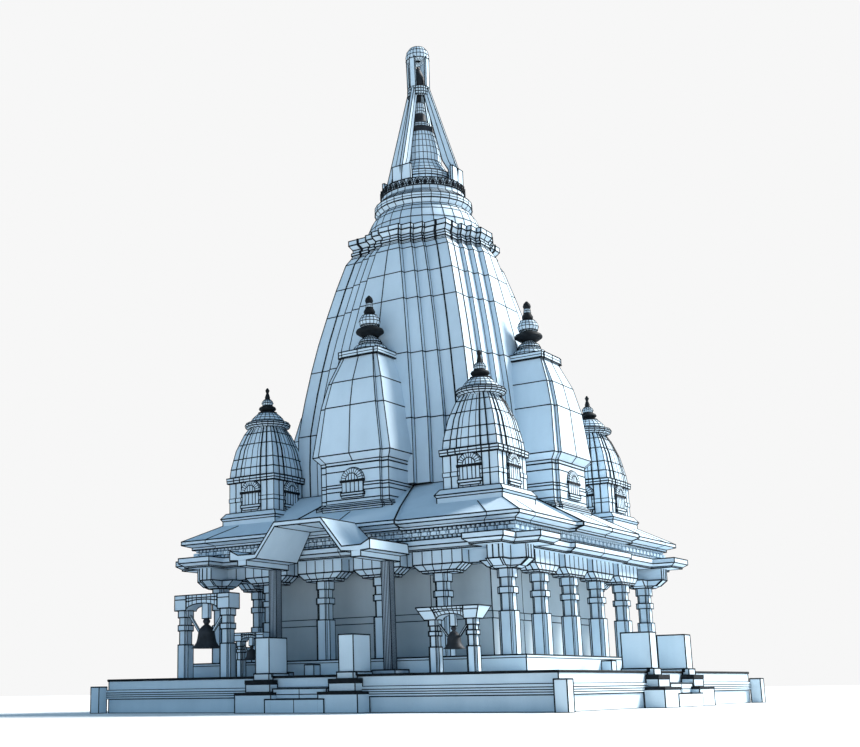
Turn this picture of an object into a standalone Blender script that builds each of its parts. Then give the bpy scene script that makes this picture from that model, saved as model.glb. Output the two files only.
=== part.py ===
# Hindu temple with a tall curved tower, eight small towers, a pillared walk and a stepped platform.
# Lengths below are in modules of M metres. Half the platform's width is one module.
# Plan heights are counted from the platform's top, and the ground lies PLATFORM_H below it.
import bpy
import bmesh
import math
from mathutils import Vector

for old in list(bpy.data.objects):
    bpy.data.objects.remove(old, do_unlink=True)

# ---------------------------------------------------------------- driving dimensions
M = 8.0                     # metres in one module
PLATFORM_H = 0.131          # ground to platform top
GAP = 0.0004 / M            # clear joint between touching pieces

COLUMN_LINE = 0.672         # column axes stand on this square
COLUMN_SPACING = 0.2688     # five equal bays a side
PLINTH_HALF = 0.787
PLINTH_TOP = 0.061
CELLA_OUT = 0.533           # outer face of the room's walls
CELLA_IN = 0.475            # inner face of the room's walls
CAPITAL_TOP = 0.3715
BRACKET_TOP = 0.4036
BEAM_TOP = 0.4527
BEAM_IN = 0.615
CORNICE_MAIN = 0.757        # lower cornice, plain stretch
CORNICE_MID = 0.776         # lower cornice, middle stretch
CORNICE_EAR = 0.853         # lower cornice, arms at the corners
MID_HALF = 0.285            # half length of the middle stretch
EAR_HALF = 0.086            # half width of a corner arm of the cornice
EAVE_HALF = 0.792
EAVE_MID = 0.816
EAVE_Z = 0.5694
ROOF_TOP_Z = 0.757          # where the roof meets the main tower
ROOF_TOP_HALF = 0.455
ROOF_IN = 0.350

SHIKHARA_AXIS = 0.5265      # corner towers
TURRET_AXIS = 0.498         # towers in the middle of each side
TURRET_STEP = 0.013         # raised middle panel on their outward face
TOWER_TIP = 2.966

STAIR_INNER = 0.157         # inner face of the stair piers
STAIR_OUTER = 0.221


# ---------------------------------------------------------------- small helpers
def material(name, colour, rough=0.8, metal=0.0):
    m = bpy.data.materials.new(name)
    m.use_nodes = True
    b = m.node_tree.nodes["Principled BSDF"]
    b.inputs["Base Color"].default_value = (colour[0], colour[1], colour[2], 1.0)
    b.inputs["Roughness"].default_value = rough
    b.inputs["Metallic"].default_value = metal
    return m


STONE = material("pale_stone", (0.55, 0.68, 0.80))
PLASTER = material("wall_stone", (0.50, 0.58, 0.64))
BASE = material("platform_stone", (0.50, 0.63, 0.76))
METAL = material("dark_metal", (0.03, 0.035, 0.045), 0.45, 0.8)


def point(x, y, z):
    return Vector((x * M, y * M, (z + PLATFORM_H) * M))


def finish(name, bm, mat):
    bmesh.ops.remove_doubles(bm, verts=bm.verts, dist=0.00005)
    bmesh.ops.recalc_face_normals(bm, faces=bm.faces)
    me = bpy.data.meshes.new(name)
    bm.to_mesh(me)
    bm.free()
    me.materials.append(mat)
    ob = bpy.data.objects.new(name, me)
    bpy.context.collection.objects.link(ob)
    return ob


def stack(bm, rings, closed=False):
    """Skin between outlines of equal length; closed joins the last to the first."""
    rows = [[bm.verts.new(point(*p)) for p in ring] for ring in rings]
    n = len(rows[0])
    pairs = list(zip(rows, rows[1:]))
    if closed:
        pairs.append((rows[-1], rows[0]))
    for low, high in pairs:
        for i in range(n):
            j = (i + 1) % n
            bm.faces.new((low[i], low[j], high[j], high[i]))
    if not closed:
        bm.faces.new(rows[0][::-1])
        bm.faces.new(rows[-1])
    return bm


def level(outline, z):
    return [(x, y, z) for x, y in outline]


def rect(x0, x1, y0, y1):
    return [(x0, y0), (x1, y0), (x1, y1), (x0, y1)]


def block(bm, x0, x1, y0, y1, z0, z1):
    return stack(bm, [level(rect(x0, x1, y0, y1), z0), level(rect(x0, x1, y0, y1), z1)])


def four_fold(half):
    """half: points (t, out) from the near diagonal to the middle of the front, which is repeated round the square."""
    side = [(t, -o) for t, o in half]
    mirror = [(-t, -o) for t, o in reversed(half) if t > 1e-9]
    front = side + mirror                     # runs from +x to -x along the front
    pts = []
    for k in range(4):
        c, s = round(math.cos(k * math.pi / 2)), round(math.sin(-k * math.pi / 2))
        for x, y in front:
            pts.append((x * c - y * s, x * s + y * c))
    out = []
    for p in pts:
        if not out or abs(p[0] - out[-1][0]) > 1e-7 or abs(p[1] - out[-1][1]) > 1e-7:
            out.append(p)
    if abs(out[0][0] - out[-1][0]) < 1e-7 and abs(out[0][1] - out[-1][1]) < 1e-7:
        out.pop()
    return out[::-1]


def inner_square(outline, half):
    res = []
    for x, y in outline:
        k = half / max(abs(x), abs(y))
        res.append((x * k, y * k))
    return res


def moved(outline, cx, cy):
    return [(x + cx, y + cy) for x, y in outline]


def circle(r, n, turn=0.0):
    return [(r * math.cos(2 * math.pi * (i + turn) / n), r * math.sin(2 * math.pi * (i + turn) / n)) for i in range(n)]


def turned(bm, cx, cy, profile, n, turn=0.0):
    """Solid of revolution, profile = (radius, z) upward, ends flat."""
    return stack(bm, [level(moved(circle(r, n, turn), cx, cy), z) for r, z in profile])


def plus(ex, ey, ax, ay):
    return [(ex, ay), (ax, ay), (ax, ey), (-ax, ey), (-ax, ay), (-ex, ay),
            (-ex, -ay), (-ax, -ay), (-ax, -ey), (ax, -ey), (ax, -ay), (ex, -ay)]


def joined(name, parts, mat, cutters=()):
    """One closed body from overlapping closed bodies, less the cutters."""
    obs = []
    for i, bm in enumerate(parts):
        obs.append(finish(name + "_p%d" % i, bm, mat))
    base = obs[0]
    for other in obs[1:]:
        mod = base.modifiers.new("join", "BOOLEAN")
        mod.operation = "UNION"
        mod.solver = "EXACT"
        mod.object = other
    for i, bm in enumerate(cutters):
        other = finish(name + "_c%d" % i, bm, mat)
        obs.append(other)
        mod = base.modifiers.new("cut", "BOOLEAN")
        mod.operation = "DIFFERENCE"
        mod.solver = "EXACT"
        mod.object = other
    deps = bpy.context.evaluated_depsgraph_get()
    me = bpy.data.meshes.new_from_object(base.evaluated_get(deps))
    for ob in obs:
        bpy.data.objects.remove(ob, do_unlink=True)
    bm = bmesh.new()
    bm.from_mesh(me)
    bpy.data.meshes.remove(me)
    return finish(name, bm, mat)


def new():
    return bmesh.new()


# ---------------------------------------------------------------- platform with its corner piers
BAND_Z = (-0.0732, -0.0408)
wall = [((-PLATFORM_H), 0.9985), (BAND_Z[0], 0.9985), (BAND_Z[0] + 0.002, 1.0075), (BAND_Z[1] - 0.002, 1.0075),
        (BAND_Z[1], 0.9985), (-0.004, 0.9985), (-0.004, 1.0015), (0.0, 1.0015)]
platform = new()
stack(platform, [level(rect(-w, w, -w, w), z) for z, w in wall])
parts = [platform]
for sx in (1, -1):
    for sy in (1, -1):
        a, b = sorted((sx * 1.0038, sx * 1.05))
        c, d = sorted((sy * 1.0038, sy * 1.05))
        pier = new()
        block(pier, a, b, c, d, -PLATFORM_H, -0.0265)
        parts.append(pier)
joined("platform", parts, BASE)


# ---------------------------------------------------------------- stairs on the four sides
def turned_point(x, y, k):
    for _ in range(k):
        x, y = -y, x
    return x, y


def stair(name, k):
    """Two stepped piers and three steps, outside the platform's wall."""
    back = 1.0015 + GAP
    pieces = []

    def box(x0, x1, y0, y1, z0, z1):
        bm = new()
        (a, b), (c, d) = turned_point(x0, y0, k), turned_point(x1, y1, k)
        block(bm, min(a, c), max(a, c), min(b, d), max(b, d), z0, z1)
        pieces.append(bm)

    # steps
    box(-0.120, 0.120, -1.0480, -back - 0.0065, -PLATFORM_H, -0.0440)
    box(-0.132, 0.132, -1.0830, -1.0400, -PLATFORM_H, -0.0815)
    for s in (1, -1):
        def pair(i, o):
            return (i, o) if s > 0 else (-o, -i)
        i, o = pair(0.105, 0.2735)
        box(i, o, -1.0805, -back - 0.0065, -PLATFORM_H, -0.0640)
        i, o = pair(0.103, 0.2745)
        box(i, o, -1.0835, -back - 0.0065, -0.0645, -0.0561)
        i, o = pair(0.132, 0.245)
        box(i, o, -1.0500, -back - 0.0065, -0.0570, -0.0255)
        i, o = pair(0.131, 0.2475)
        box(i, o, -1.0536, -back - 0.0002, -0.0262, -0.0115)
        i, o = pair(0.1528, 0.2234)
        box(i, o, -1.0277, -back - 0.0002, -0.0125, 0.0115)
        box(i, o, -1.0100, -0.9010, GAP, 0.0115)
        i, o = pair(0.1571, 0.2210)
        box(i, o, -1.0195, -0.9065, 0.0100, 0.1441)
    return joined(name, pieces, BASE)


for k, side in enumerate(("front", "right", "back", "left")):
    stair("stair_" + side, k)

# ---------------------------------------------------------------- plinth, a hollow square of floor round and under the room
plinth = new()
P = [(GAP, PLINTH_HALF - 0.002), (0.052, PLINTH_HALF - 0.002), (0.0525, PLINTH_HALF), (PLINTH_TOP, PLINTH_HALF)]
stack(plinth, [level(rect(-w, w, -w, w), z) for z, w in P])
pieces = [plinth]
for k in range(4):
    for s in (1, -1):
        (a, b), (c, d) = turned_point(s * 0.0880, -0.8274, k), turned_point(s * 0.1323, -0.7800, k)
        bm = new()
        block(bm, min(a, c), max(a, c), min(b, d), max(b, d), GAP, 0.0450)
        pieces.append(bm)
joined("plinth", pieces, BASE)

# ---------------------------------------------------------------- room walls
cella = new()
sq = rect(-1, 1, -1, 1)


def square(w):
    return rect(-w, w, -w, w)


prof = [(CELLA_OUT, PLINTH_TOP + GAP), (CELLA_OUT, 0.1725), (CELLA_OUT + 0.004, 0.1745), (CELLA_OUT + 0.004, 0.1985),
        (CELLA_OUT, 0.2005), (CELLA_OUT, 0.532), (CELLA_IN, 0.532), (CELLA_IN, PLINTH_TOP + GAP)]
stack(cella, [level(square(w), z) for w, z in prof], closed=True)
finish("cella_walls", cella, PLASTER)


# ---------------------------------------------------------------- columns with their brackets
def column(name, cx, cy, corner):
    def sq_plus(h, k=0.62):
        return plus(h, h, h * k, h * k)

    rows = []
    for h, z in ((0.0315, PLINTH_TOP + GAP), (0.0315, 0.2190), (0.0245, 0.2195), (0.0245, 0.2812), (0.0315, 0.2817),
                 (0.0315, 0.3045), (0.0245, 0.3050), (0.0245, 0.3381)):
        rows.append(level(moved(sq_plus(h), cx, cy), z))
    if corner:
        rows.append(level(moved(sq_plus(0.0305), cx, cy), 0.3386))
        for o, i, a, z in ((0.0305, 0.0305, 0.019, CAPITAL_TOP - 0.0005), (0.050, 0.046, 0.0290, CAPITAL_TOP), (0.070, 0.064, 0.0290, 0.3798),
                           (0.098, 0.092, 0.0300, BRACKET_TOP - GAP)):
            sx = 1 if cx > 0 else -1
            sy = 1 if cy > 0 else -1
            pts = []
            for x, y in plus(1.0, 1.0, 0.5, 0.5):
                ux = (o if x * sx > 0 else i) if abs(x) > 0.75 else a
                uy = (o if y * sy > 0 else i) if abs(y) > 0.75 else a
                pts.append((cx + math.copysign(ux, x), cy + math.copysign(uy, y)))
            rows.append(level(pts, z))
    else:
        along_x = abs(cy) > abs(cx) - 1e-6
        rows.append(level(moved(sq_plus(0.0305), cx, cy), 0.3386))
        rows.append(level(moved(sq_plus(0.0305), cx, cy), CAPITAL_TOP - 0.0005))
        for t, o, z in ((0.060, 0.034, CAPITAL_TOP), (0.078, 0.037, 0.3800), (0.1067, 0.038, BRACKET_TOP - GAP)):
            ex, ey = (t, o) if along_x else (o, t)
            rows.append(level(moved(plus(ex, ey, ex - 0.010, ey - 0.010), cx, cy), z))
    bm = new()
    stack(bm, rows)
    return finish(name, bm, STONE)


L, S = COLUMN_LINE, COLUMN_SPACING
for side, k in (("front", 0), ("right", 1), ("back", 2), ("left", 3)):
    for n in range(5):
        t = -L + n * S
        x, y = turned_point(t, -L, k)
        column("column_%s_%d" % (side, n + 1), x, y, n == 0)

# ---------------------------------------------------------------- beam with its blocks and the lower cornice
def arm_outline(main, mid, ear, a):
    """Outline from the near diagonal to the middle of a side: corner arm, plain stretch, middle stretch."""
    return [(L + a, L + a), (L + a, ear), (L - a, ear), (L - a, main), (MID_HALF, main), (MID_HALF, mid)]


ent = new()
rows = []
for z in (BRACKET_TOP, BEAM_TOP - 0.0006):
    rows.append(level(four_fold(arm_outline(0.710, 0.7105, 0.770, 0.033)), z))
for d, z in ((-0.020, BEAM_TOP), (-0.020, 0.4591), (0.0, 0.4711), (0.0, 0.4917)):
    rows.append(level(four_fold(arm_outline(CORNICE_MAIN + d, CORNICE_MID + d, CORNICE_EAR + d, 0.083 + d * 0.9)), z))
for out, z in ((0.745, 0.4925), (0.745, 0.5337 - GAP)):
    rows.append(level(four_fold(arm_outline(out, out + 0.0005, out + 0.001, 0.072)), z))
rows.append(level(inner_square(four_fold(arm_outline(0.710, 0.7105, 0.770, 0.033)), BEAM_IN), 0.5337 - GAP))
rows.append(level(inner_square(four_fold(arm_outline(0.710, 0.7105, 0.770, 0.033)), BEAM_IN), BRACKET_TOP))
stack(ent, rows, closed=True)
finish("entablature", ent, STONE)


# ---------------------------------------------------------------- roof with the upper eave
def eave_outline(main, mid):
    return [(main, main), (MID_HALF, main), (MID_HALF, mid)]


def roof_rows(lift):
    rows = []
    for d, z in ((-0.033, 0.5337), (-0.033, 0.5448), (0.0, 0.5546), (0.0, EAVE_Z + lift)):
        rows.append(level(four_fold(eave_outline(EAVE_HALF + d, EAVE_MID + d)), z))
    rows.append(level(four_fold([(ROOF_TOP_HALF, ROOF_TOP_HALF), (0.20, ROOF_TOP_HALF), (0.20, ROOF_TOP_HALF + 0.004)]), ROOF_TOP_Z + lift))
    return rows


roof = new()
rows = roof_rows(0.0)
top = four_fold(eave_outline(0.46, 0.47))
rows.append(level(inner_square(top, ROOF_IN), ROOF_TOP_Z))
rows.append(level(inner_square(top, ROOF_IN), 0.5337))
stack(roof, rows, closed=True)
finish("roof", roof, STONE)


def roof_cutter():
    bm = new()
    return stack(bm, roof_rows(GAP * 1.3))


# ---------------------------------------------------------------- main tower
def tower_outline(c, k=1.0):
    s, w = 0.0205 * k, c - 0.25
    t1 = c - 0.1055 - 0.065 * w
    t2 = c - 0.1520 - 0.150 * w
    t3 = c - 0.2016 - 0.220 * w
    return [(c, c), (t1, c + 0.003), (t1, c + s), (t2, c + s), (t2, c + 2.1 * s), (t3, c + 2.1 * s), (t3, c + 3.2 * s)]


TOWER = ((0.432, ROOF_TOP_Z + GAP), (0.433, 0.89), (0.429, 1.03), (0.419, 1.11), (0.406, 1.20), (0.386, 1.3219), (0.361, 1.453),
         (0.332, 1.5817), (0.300, 1.714), (0.266, 1.8385), (0.248, 1.8692))
tower = new()
rows = [level(four_fold(tower_outline(c)), z) for c, z in TOWER]
for c, z in ((0.247, 1.8700), (0.247, 1.8870), (0.241, 1.8885), (0.241, 1.9180), (0.256, 1.9340), (0.256, 1.9565)):
    rows.append(level(four_fold(tower_outline(c)), z))
rows.append([(x, y, 1.9565) for x, y in inner_square(four_fold(tower_outline(0.256)), 0.12)])
for c, z in ((0.12, 1.85), (0.25, 1.50), (0.32, 1.20), (0.350, ROOF_TOP_Z + GAP)):
    rows.append([(x, y, z) for x, y in inner_square(four_fold(tower_outline(0.3)), c)])
stack(tower, rows, closed=True)
finish("main_tower", tower, STONE)


def tower_cutter():
    bm = new()
    rows = [level(four_fold(tower_outline(c + GAP * 1.3)), z) for c, z in TOWER]
    rows[0] = level(four_fold(tower_outline(TOWER[0][0] + GAP * 1.3)), ROOF_TOP_Z - 0.02)
    return stack(bm, rows)


# ---------------------------------------------------------------- crown: neck, rolled ring and drum
CROWN_TOP = 2.2185          # ledge that carries the spire and the parasol
crown = new()
turned(crown, 0, 0, ((0.272, 1.9565 + GAP), (0.266, 1.990), (0.257, 2.017), (0.245, 2.043), (0.228, 2.067), (0.2125, 2.086), (0.2125, 2.094),
                     (0.2265, 2.106), (0.2265, 2.135), (0.212, 2.148), (0.199, 2.160), (0.196, 2.180), (0.196, CROWN_TOP)), 24)
finish("tower_crown", crown, STONE)

# ---------------------------------------------------------------- spire inside the parasol
spire = new()
turned(spire, 0, 0, ((0.132, CROWN_TOP + GAP), (0.142, 2.253), (0.142, 2.280), (0.118, 2.3045), (0.093, 2.3475), (0.087, 2.419), (0.073, 2.483),
                     (0.064, 2.532), (0.046, 2.540), (0.044, 2.560), (0.030, 2.575), (0.030, 2.605), (0.022, 2.612), (0.027, 2.640),
                     (0.024, 2.668), (0.011, 2.680), (0.011, 2.712), (0.030, 2.752), (0.030, 2.800), (0.018, 2.835), (0.003, 2.863)), 18)
finish("tower_spire", spire, STONE)

# ---------------------------------------------------------------- parasol: plates, struts, ring and cap
PLATE_OUT = 0.190           # outer face of the four plates
PLATE_HALF = 0.048
PLATE_TOP = 2.292
RING_R = 0.0515             # the ring that ties the struts
RING_Z = (2.7025, 2.745)
CAP_R = 0.0557
CAP_Z = 2.893
LEAN = (PLATE_OUT - 0.055) / (2.735 - PLATE_TOP)
parts = []
ring = new()
stack(ring, [level(circle(r, 20, 0.5), z) for r, z in ((RING_R, RING_Z[0]), (RING_R + 0.002, RING_Z[0] + 0.02), (RING_R, RING_Z[1]), (0.037, RING_Z[1]), (0.037, RING_Z[0]))], closed=True)
parts.append(ring)
cap = new()
turned(cap, 0, 0, ((CAP_R, CAP_Z), (CAP_R, 2.917), (0.051, 2.936), (0.037, 2.955), (0.012, TOWER_TIP)), 20, 0.5)
parts.append(cap)
for k in range(4):
    def put(points):
        return [turned_point(x, y, k) for x, y in points]
    plate = new()
    stack(plate, [level(put(rect(-PLATE_HALF, PLATE_HALF, -PLATE_OUT, -PLATE_OUT + 0.012)), z) for z in (CROWN_TOP + GAP, PLATE_TOP)])
    parts.append(plate)
    strut = new()
    rows = []
    for z, inner in ((CROWN_TOP + GAP, 0.1465), (PLATE_TOP, 0.1465), (2.345, 0.118), (2.735, 0.026)):
        outer = PLATE_OUT - LEAN * (z - PLATE_TOP) if z >= PLATE_TOP else PLATE_OUT - 0.004
        if z == PLATE_TOP:
            outer -= 0.0005
        rows.append(level(put([(-0.007, -outer), (0.007, -outer), (0.010, -inner), (-0.010, -inner)]), z))
    stack(strut, rows)
    parts.append(strut)
    bar = new()
    stack(bar, [level(put(rect(-0.0145, 0.0145, -0.0525, -0.0425)), 2.740), level(put(rect(-0.0135, 0.0135, -0.0545, -0.0455)), 2.900)])
    parts.append(bar)
joined("parasol", parts, STONE)


# ---------------------------------------------------------------- corner towers, each with its finial
def panel_outline(c, e):
    """Square of half-width c with a raised panel on each face."""
    return four_fold([(c, c), (c * 0.70, c + 0.0004), (c * 0.70, c + e)])


def finial_body(cx, cy, prof, n):
    bm = new()
    turned(bm, cx, cy, prof, n, 0.5)
    return bm


for name, sx, sy in (("front_right", 1, -1), ("back_right", 1, 1), ("back_left", -1, 1), ("front_left", -1, -1)):
    cx, cy = sx * SHIKHARA_AXIS, sy * SHIKHARA_AXIS
    bm = new()
    rows = []
    for c, e, z in ((0.138, 0.001, 0.5600), (0.1397, 0.001, 0.6575), (0.1464, 0.001, 0.6670), (0.130, 0.001, 0.6890), (0.1185, 0.004, 0.6895),
                    (0.1185, 0.004, 0.8195), (0.1267, 0.004, 0.8205), (0.1283, 0.004, 0.8425), (0.1178, 0.006, 0.8457), (0.1146, 0.006, 0.8815),
                    (0.0986, 0.006, 0.9640), (0.0810, 0.005, 1.0150), (0.0726, 0.004, 1.0380), (0.0580, 0.003, 1.0650)):
        rows.append(level(moved(panel_outline(c, e), cx, cy), z))
    stack(bm, rows)
    top = finial_body(cx, cy, ((0.050, 1.060), (0.080, 1.0668), (0.0967, 1.0726), (0.099, 1.0812), (0.0945, 1.0887), (0.0735, 1.0985), (0.0674, 1.110),
                               (0.0548, 1.1233), (0.042, 1.134), (0.042, 1.1395), (0.0211, 1.1406), (0.0267, 1.1447), (0.0385, 1.1574), (0.0253, 1.169),
                               (0.0208, 1.172), (0.0253, 1.1823), (0.0155, 1.197), (0.0113, 1.2035), (0.0113, 1.211), (0.0056, 1.229), (0.0096, 1.2405),
                               (0.003, 1.2525)), 10)
    joined("corner_tower_" + name, [bm, top], STONE, (roof_cutter(), tower_cutter()))

# ---------------------------------------------------------------- middle turrets, each with its finial
for name, k in (("front", 0), ("right", 1), ("back", 2), ("left", 3)):
    cx, cy = turned_point(0.0, -TURRET_AXIS, k)
    bm = new()
    rows = []
    for c, d, z in ((0.178, 0.158, 0.5600), (0.178, 0.158, 0.6470), (0.181, 0.160, 0.6560), (0.181, 0.160, 0.6640), (0.162, 0.147, 0.6790),
                    (0.162, 0.147, 0.8420), (0.164, 0.147, 0.8500), (0.187, 0.172, 0.8775), (0.1535, 0.155, 1.0790), (0.1285, 0.131, 1.1890),
                    (0.089, 0.092, 1.3000), (0.097, 0.100, 1.3020), (0.097, 0.100, 1.3280)):
        e = TURRET_STEP if c > 0.1 else 0.004
        plan = [(c, d), (-c, d), (-c, -d), (-0.8 * c, -d), (-0.8 * c, -d - e), (0.8 * c, -d - e), (0.8 * c, -d), (c, -d)]
        rows.append(level(moved([turned_point(x, y, k) for x, y in plan], cx, cy), z))
    stack(bm, rows)
    top = finial_body(cx, cy, ((0.070, 1.322), (0.0746, 1.3428), (0.066, 1.3564), (0.0396, 1.3701), (0.0483, 1.3755), (0.0423, 1.3865), (0.0238, 1.4029),
                               (0.0397, 1.4056), (0.0603, 1.4248), (0.0291, 1.4479), (0.0397, 1.4523), (0.0451, 1.4688), (0.0318, 1.4952), (0.0199, 1.5018),
                               (0.0244, 1.5156), (0.0159, 1.5322), (0.0133, 1.5516), (0.0173, 1.5654), (0.004, 1.5865)), 10)
    joined("turret_" + name, [bm, top], STONE, (roof_cutter(), tower_cutter()))

# ---------------------------------------------------------------- porch canopy and its posts
def canopy_section(flat, slope, tip):
    return flat, slope, tip


half_top = [(0.108, 0.5715), (0.200, 0.4575), (0.282, 0.4585), (0.322, 0.4780)]
half_low = [(0.322, 0.4380), (0.2825, 0.4365), (0.2820, 0.4155), (0.2400, 0.4155), (0.2395, 0.4365), (0.196, 0.4400), (0.1045, 0.5550)]
section = [(-x, z) for x, z in reversed(half_top)] + half_top + half_low + [(-x, z) for x, z in reversed(half_low)]
canopy = new()


def back_at(z):
    return -0.7775 - 0.040 * min(max((z - 0.4575) / (0.5715 - 0.4575), 0.0), 1.0)


stack(canopy, [[(x, -1.05, z) for x, z in section], [(x, back_at(z), z) for x, z in section]])
joined("porch_canopy", [canopy], STONE, (roof_cutter(),))
for hand, s in (("right", 1), ("left", -1)):
    bm = new()
    cx, cy = s * 0.262, -0.8365
    rows = []
    for w, z in ((0.0494, GAP), (0.0494, 0.0175), (0.0175, 0.0180), (0.0175, 0.4155 - GAP)):
        rows.append(level(moved(circle(w * 1.4142 if w > 0.02 else w * 1.08, 8 if w < 0 else 4, 0.5), cx, cy), z))
    stack(bm, rows)
    finish("porch_post_" + hand, bm, STONE)


# ---------------------------------------------------------------- bell frames and bells
def bell_frame(name, cx, cy, half, post_at, ph, z_base, ring, cap, beam, arch, flare):
    """Two posts and an arched beam with a hanger strap and two braces."""
    parts = []
    for s in (-1, 1):
        bm = new()
        rows = []
        for h, z in ((ph, GAP), (ph, z_base), (ph * 0.80, z_base + 0.0005), (ph * 0.80, ring[0] - 0.0005), (ph, ring[0]), (ph, ring[1]), (ph * 0.80, ring[1] + 0.0005),
                     (ph * 0.80, cap - 0.0005), (ph, cap), (ph, beam[0] + 0.003)):
            rows.append(level(moved(plus(h, h, h * 0.62, h * 0.62), cx + s * post_at, cy), z))
        stack(bm, rows)
        parts.append(bm)
    depth = ph * 1.24
    z0, z1 = beam
    lo = post_at - ph
    n = 8
    outline = [(-half, z0), (-half - flare, z1), (half + flare, z1), (half, z0), (lo, z0)]
    for i in range(1, n):
        t = math.pi * i / n
        outline.append((lo * math.cos(t), z0 + (arch - z0) * math.sin(t)))
    outline.append((-lo, z0))
    bm = new()
    d0, d1 = depth, depth + flare
    front, back = [], []
    for x, z in outline:
        d = d1 if z >= z1 - 1e-6 else d0
        front.append((cx + x, cy - d, z))
        back.append((cx + x, cy + d, z))
    stack(bm, [front, back])
    parts.insert(0, bm)
    return parts


def bell(name, cx, cy, tip, rim, r):
    h = tip - rim
    bm = new()
    n = 14
    prof = ((0.10, 1.00), (0.24, 0.95), (0.24, 0.86), (0.13, 0.80), (0.40, 0.68), (0.54, 0.58), (0.62, 0.30), (0.80, 0.09), (1.0, 0.0),
            (0.92, 0.0), (0.56, 0.16), (0.48, 0.50), (0.06, 0.57))
    stack(bm, [level(moved(circle(k * r, n, 0.5), cx, cy), rim + t * h) for k, t in prof])
    return finish(name, bm, METAL)


FRAMES = (("large", -0.566, -0.8935, 0.142, 0.110, 0.0270, 0.1347, (0.1907, 0.2123), 0.2438, (0.2710, 0.3308), 0.2960, 0.0, 0.236, 0.1187, 0.0620),
          ("medium", 0.5595, -0.8865, 0.104, 0.0758, 0.0202, 0.0918, (0.1306, 0.1461), 0.1651, (0.1866, 0.2295), 0.2060, 0.022, 0.162, 0.0837, 0.0410),
          ("small", -0.3270, -0.9060, 0.0715, 0.0525, 0.0158, 0.0685, (0.0970, 0.1080), 0.1200, (0.1395, 0.1706), 0.1540, 0.0, 0.1211, 0.0666, 0.0350))
for name, cx, cy, half, post_at, ph, z_base, ring, cap, beam, arch, flare, tip, rim, r in FRAMES:
    parts = bell_frame(name, cx, cy, half, post_at, ph, z_base, ring, cap, beam, arch, flare)
    w = r * 0.26
    strap = new()
    block(strap, cx - w, cx + w, cy - w * 0.6, cy + w * 0.6, tip + GAP * 2, beam[1] - 0.01)
    parts.append(strap)
    lo, g = post_at - ph, 0.0645 * r
    for s in (-1, 1):
        x0, z0 = lo + ph * 0.10, cap + 0.25 * (beam[0] - cap)
        x1, z1 = 0.584 * r, rim + 0.5695 * (tip - rim)
        n = math.hypot(x1 - x0, z1 - z0)
        u, v = (x1 - x0) / n, (z1 - z0) / n
        brace = new()
        ends = []
        for x, z in ((x0, z0), (x1, z1)):
            ends.append([(cx + s * (x - v * g * e), cy + g * w, z + u * g * e) for e, w in ((1, 1), (1, -1), (-1, -1), (-1, 1))])
        stack(brace, ends)
        parts.append(brace)
    joined("bell_frame_" + name, parts, STONE)
    bell("bell_" + name, cx, cy, tip, rim, r)
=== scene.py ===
# Looks of the hindu temple: every CAD node gets a finer skin with its mouldings, joints and trim.
# Lengths are in modules of M metres, heights from the platform's top, as in the part's own source.
import bpy
import math
import numpy as np
from mathutils import Matrix, Vector


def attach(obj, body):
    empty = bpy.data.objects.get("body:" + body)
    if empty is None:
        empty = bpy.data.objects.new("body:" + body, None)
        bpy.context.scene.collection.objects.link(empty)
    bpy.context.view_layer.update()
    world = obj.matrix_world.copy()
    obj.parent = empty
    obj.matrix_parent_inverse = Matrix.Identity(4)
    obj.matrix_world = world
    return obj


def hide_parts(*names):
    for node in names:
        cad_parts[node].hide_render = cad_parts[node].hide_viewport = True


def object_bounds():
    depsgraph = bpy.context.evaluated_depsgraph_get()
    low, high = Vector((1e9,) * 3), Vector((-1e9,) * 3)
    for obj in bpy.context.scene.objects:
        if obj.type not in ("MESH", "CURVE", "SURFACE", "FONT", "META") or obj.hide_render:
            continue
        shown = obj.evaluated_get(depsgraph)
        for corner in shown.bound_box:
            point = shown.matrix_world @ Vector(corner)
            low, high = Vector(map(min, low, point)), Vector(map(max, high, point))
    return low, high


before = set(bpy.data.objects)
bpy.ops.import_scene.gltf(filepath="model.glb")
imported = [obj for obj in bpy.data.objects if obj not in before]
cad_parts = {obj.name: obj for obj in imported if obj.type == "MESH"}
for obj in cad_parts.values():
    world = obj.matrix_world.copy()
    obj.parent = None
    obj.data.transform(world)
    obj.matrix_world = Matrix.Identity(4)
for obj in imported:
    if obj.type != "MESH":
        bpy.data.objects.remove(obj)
cad_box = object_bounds()

M = 8.0
H = 0.131
W = 0.0026          # half thickness of a usual joint strip
FINE = 0.0017
BOLD = 0.0040
LOW = np.array([min(p[i] for p in cad_box) for i in range(3)])
TOP = np.array([max(p[i] for p in cad_box) for i in range(3)])


# ---------------------------------------------------------------- materials
def mat_base(name):
    m = bpy.data.materials.new(name)
    m.use_nodes = True
    nt = m.node_tree
    return m, nt, nt.nodes["Principled BSDF"]


def noise(nt, scale, detail=4.0, stretch=(1.0, 1.0, 1.0), rough=0.55):
    tc = nt.nodes.new("ShaderNodeTexCoord")
    mp = nt.nodes.new("ShaderNodeMapping")
    mp.inputs["Scale"].default_value = stretch
    nz = nt.nodes.new("ShaderNodeTexNoise")
    nz.inputs["Scale"].default_value = scale
    nz.inputs["Detail"].default_value = detail
    nz.inputs["Roughness"].default_value = rough
    nt.links.new(tc.outputs["Object"], mp.inputs["Vector"])
    nt.links.new(mp.outputs["Vector"], nz.inputs["Vector"])
    return nz.outputs["Fac"]


def ramp(nt, fac, stops):
    r = nt.nodes.new("ShaderNodeValToRGB")
    el = r.color_ramp.elements
    while len(el) < len(stops):
        el.new(0.5)
    for e, (p, c) in zip(el, stops):
        e.position = p
        e.color = (c[0], c[1], c[2], 1.0)
    nt.links.new(fac, r.inputs["Fac"])
    return r.outputs["Color"]


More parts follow.
